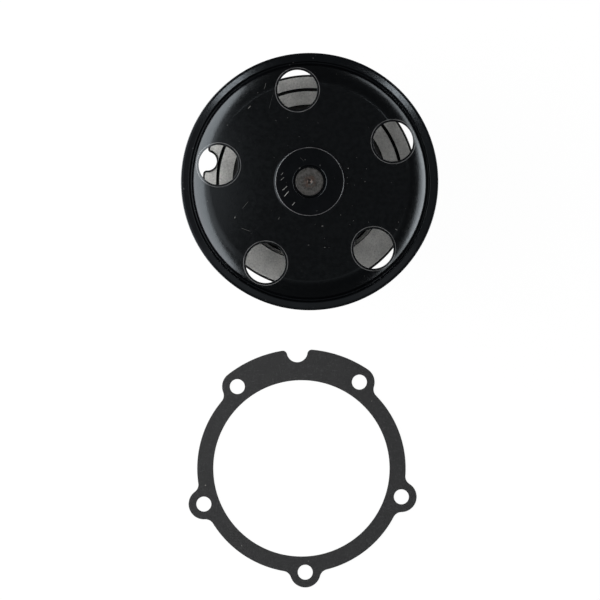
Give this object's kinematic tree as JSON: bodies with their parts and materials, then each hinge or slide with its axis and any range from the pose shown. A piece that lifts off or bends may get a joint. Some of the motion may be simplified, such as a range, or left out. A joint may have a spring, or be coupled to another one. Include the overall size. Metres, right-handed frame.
{
  "type": "water pump",
  "caption": "Engine coolant pump: cast housing with an eared round flange, ribbed-belt pulley on a bearing shaft, face seal and vaned impeller, with its loose ring gasket.",
  "frame": {"origin": "centre of the housing's mounting face, on the shaft's axis", "axes": "+Z along the shaft, from the impeller to the pulley; -Y towards the loose gasket; +X to the right"},
  "size_m": [0.1446, 0.3006, 0.092],
  "materials": {
    "cast_aluminium": "sand-cast, machined on the mounting face",
    "bearing_steel": "ground",
    "seal_rubber_brown": "satin",
    "cage_nylon": "matt",
    "ground_steel": "ground, end face turned",
    "black_paint": "gloss",
    "pressed_steel": "satin",
    "seal_brass": "satin",
    "black_rubber": "matt",
    "spring_steel": "drawn",
    "carbon": "lapped",
    "seal_ceramic": "lapped",
    "impeller_plastic": "moulded",
    "gasket_fibre": "matt, fibrous"
  },
  "bodies": {
    "pump_body": {"housing": "cast_aluminium", "bearing_outer_ring": "bearing_steel", "front_bearing_seal": "seal_rubber_brown", "rear_bearing_seal": "seal_rubber_brown", "seal_cup": "seal_brass", "seal_bellows": "black_rubber", "seal_spring": "spring_steel"},
    "rotor": {"pump_shaft": "ground_steel", "pulley": "black_paint", "pulley_hub": "black_paint", "slinger": "pressed_steel", "mating_ring": "seal_ceramic", "mating_ring_boot": "black_rubber", "impeller": "impeller_plastic", "impeller_bush": "seal_brass"},
    "front_ball_set": {"front_bearing_balls": "bearing_steel", "front_ball_cage": "cage_nylon"},
    "rear_ball_set": {"rear_bearing_balls": "bearing_steel", "rear_ball_cage": "cage_nylon"},
    "seal_face": {"carbon_face_ring": "carbon", "seal_spring_retainer": "pressed_steel"},
    "loose_gasket": {"gasket": "gasket_fibre"}
  },
  "joints": [
    {"name": "rotor_spin", "type": "hinge", "parent": "pump_body", "child": "rotor", "pos_m": [0, 0, 0], "axis": [0, 0, 1], "continuous": true},
    {"name": "front_cage_spin", "type": "hinge", "parent": "pump_body", "child": "front_ball_set", "pos_m": [0, 0, 0.039], "axis": [0, 0, 1], "continuous": true},
    {"name": "rear_cage_spin", "type": "hinge", "parent": "pump_body", "child": "rear_ball_set", "pos_m": [0, 0, 0.019], "axis": [0, 0, 1], "continuous": true},
    {"name": "seal_face_float", "type": "slide", "parent": "pump_body", "child": "seal_face", "axis": [0, 0, 1], "range_m": [0, 0.0012], "stiffness_N_per_m": 3000, "springref_m": -0.006, "deforming": ["seal_spring", "seal_bellows"]},
    {"name": "gasket_lift", "type": "slide", "parent": "pump_body", "child": "loose_gasket", "axis": [0, 0, 1], "range_m": [0, 0.06]}
  ],
  "couplings": [
    {"joint": "front_cage_spin", "follows": "rotor_spin", "ratio": 0.3451},
    {"joint": "rear_cage_spin", "follows": "rotor_spin", "ratio": 0.3451}
  ]
}
